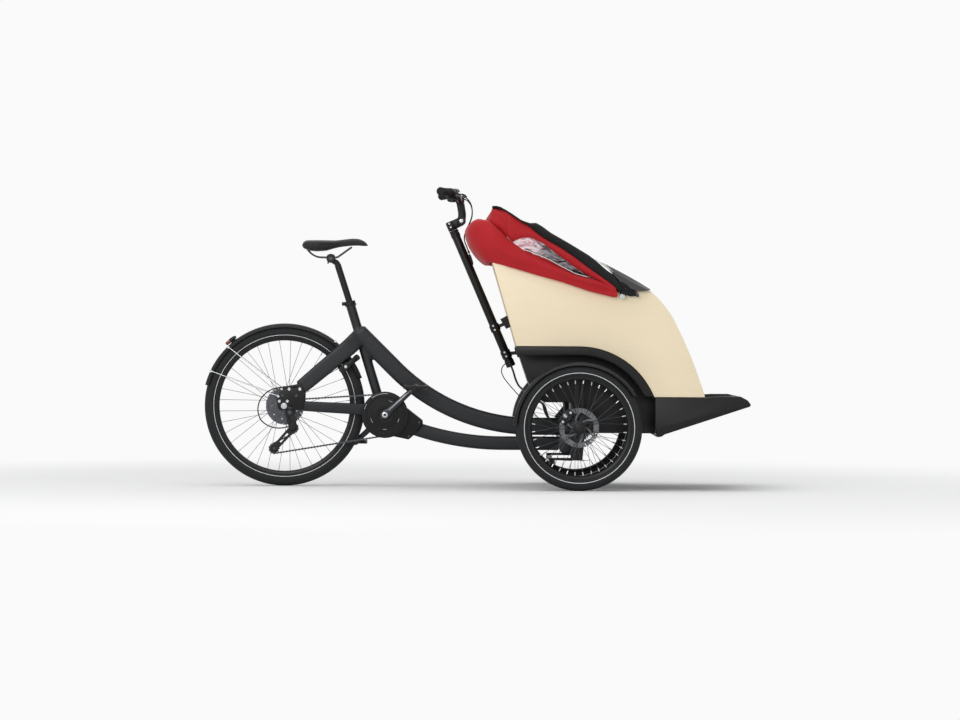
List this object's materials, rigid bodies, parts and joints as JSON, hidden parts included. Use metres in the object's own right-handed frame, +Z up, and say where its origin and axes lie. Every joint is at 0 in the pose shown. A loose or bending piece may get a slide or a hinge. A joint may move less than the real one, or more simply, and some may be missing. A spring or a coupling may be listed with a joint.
{
  "type": "cycle rickshaw",
  "caption": "Pedal rickshaw with a wooden passenger box and folded hood over its steered front wheels, and a saddle and chain drive behind.",
  "frame": {"origin": "on the floor, at the middle of the overall length and width", "axes": "+X forward, +Y to the rider's left, +Z up"},
  "size_m": [2.2277, 1, 1.2242],
  "materials": {
    "frame_paint": "satin",
    "steel": "brushed",
    "alloy": "anodised dark grey",
    "black_paint": "gloss black",
    "tyre_rubber": "matt",
    "grip_rubber": "matt",
    "black_plastic": "fine grained",
    "saddle_cover": "smooth imitation leather",
    "lamp_red": "clear",
    "wood_panel": "lacquered pale",
    "cushion_cover": "grained imitation leather",
    "hood_cloth": "coated cloth",
    "hood_film": "smoked flexible film"
  },
  "bodies": {
    "chassis": {"main_beam": "frame_paint", "seat_tube": "frame_paint", "motor": "black_plastic", "lower_tube": "frame_paint", "cross_beam": "frame_paint", "rear_stays": "frame_paint", "chainstays": "frame_paint", "dropout_plates": "steel", "rear_axle": "steel", "seat_post": "alloy", "saddle_rails": "steel", "saddle": "saddle_cover", "rear_fender": "black_plastic", "tail_light": "lamp_red", "ring_lock": "black_plastic", "chain": "steel", "derailleur": "black_plastic", "calliper_rear": "black_plastic", "steering_column": "frame_paint", "box_side_panels": "wood_panel", "wheel_arches": "black_plastic", "foot_well": "black_plastic", "footboard": "black_plastic", "box_back": "wood_panel", "seat_deck": "wood_panel", "seat_cushion": "cushion_cover", "back_cushion": "cushion_cover", "folded_hood": "hood_cloth", "hood_flaps": "hood_film", "hood_hinges": "alloy", "control_cables": "black_plastic"},
    "handlebar_set": {"stem": "alloy", "handlebar": "alloy", "grips": "grip_rubber", "brake_levers": "black_plastic", "lever_hoses": "black_plastic"},
    "knuckle_left_set": {"knuckle_left": "frame_paint", "calliper_left": "black_plastic", "fender_front_left": "black_plastic"},
    "knuckle_right_set": {"knuckle_right": "frame_paint", "calliper_right": "black_plastic", "fender_front_right": "black_plastic"},
    "tie_rod_set": {"tie_rod": "frame_paint"},
    "wheel_front_left": {"tyre_front_left": "tyre_rubber", "rim_front_left": "black_paint", "hub_front_left": "alloy", "rotor_front_left": "steel"},
    "wheel_front_right": {"tyre_front_right": "tyre_rubber", "rim_front_right": "black_paint", "hub_front_right": "alloy", "rotor_front_right": "steel"},
    "wheel_rear": {"tyre_rear": "tyre_rubber", "rim_rear": "black_paint", "hub_rear": "alloy", "rotor_rear": "steel", "cassette": "steel"},
    "crank": {"crankset": "alloy"},
    "pedal_left_set": {"pedal_left": "black_plastic"},
    "pedal_right_set": {"pedal_right": "black_plastic"}
  },
  "joints": [
    {"name": "handlebar_steer", "type": "hinge", "parent": "chassis", "child": "handlebar_set", "pos_m": [-0.09181, 0, 1.05586], "axis": [-0.3963, 0, 0.9181], "range_deg": [-30, 30]},
    {"name": "knuckle_left_steer", "type": "hinge", "parent": "chassis", "child": "knuckle_left_set", "pos_m": [0.413, 0.385, 0.1835], "axis": [0, 0, 1], "range_deg": [-30, 30]},
    {"name": "knuckle_right_steer", "type": "hinge", "parent": "chassis", "child": "knuckle_right_set", "pos_m": [0.413, -0.385, 0.1835], "axis": [0, 0, 1], "range_deg": [-30, 30]},
    {"name": "tie_rod_swing", "type": "hinge", "parent": "knuckle_left_set", "child": "tie_rod_set", "pos_m": [0.313, 0.385, 0.112], "axis": [0, 0, 1], "range_deg": [-30, 30]},
    {"name": "wheel_front_left_spin", "type": "hinge", "parent": "knuckle_left_set", "child": "wheel_front_left", "pos_m": [0.421, 0.46, 0.253], "axis": [0, 1, 0], "continuous": true},
    {"name": "wheel_front_right_spin", "type": "hinge", "parent": "knuckle_right_set", "child": "wheel_front_right", "pos_m": [0.421, -0.46, 0.253], "axis": [0, 1, 0], "continuous": true},
    {"name": "wheel_rear_spin", "type": "hinge", "parent": "chassis", "child": "wheel_rear", "pos_m": [-0.784, 0, 0.33], "axis": [0, 1, 0], "continuous": true},
    {"name": "crank_spin", "type": "hinge", "parent": "chassis", "child": "crank", "pos_m": [-0.369, 0, 0.295], "axis": [0, 1, 0], "continuous": true},
    {"name": "pedal_left_spin", "type": "hinge", "parent": "crank", "child": "pedal_left_set", "pos_m": [-0.49394, 0.137, 0.17971], "axis": [0, 1, 0], "continuous": true},
    {"name": "pedal_right_spin", "type": "hinge", "parent": "crank", "child": "pedal_right_set", "pos_m": [-0.24407, -0.137, 0.41029], "axis": [0, 1, 0], "continuous": true}
  ],
  "couplings": [
    {"joint": "knuckle_left_steer", "follows": "handlebar_steer", "ratio": 1},
    {"joint": "knuckle_right_steer", "follows": "handlebar_steer", "ratio": 1},
    {"joint": "tie_rod_swing", "follows": "handlebar_steer", "ratio": -1}
  ]
}
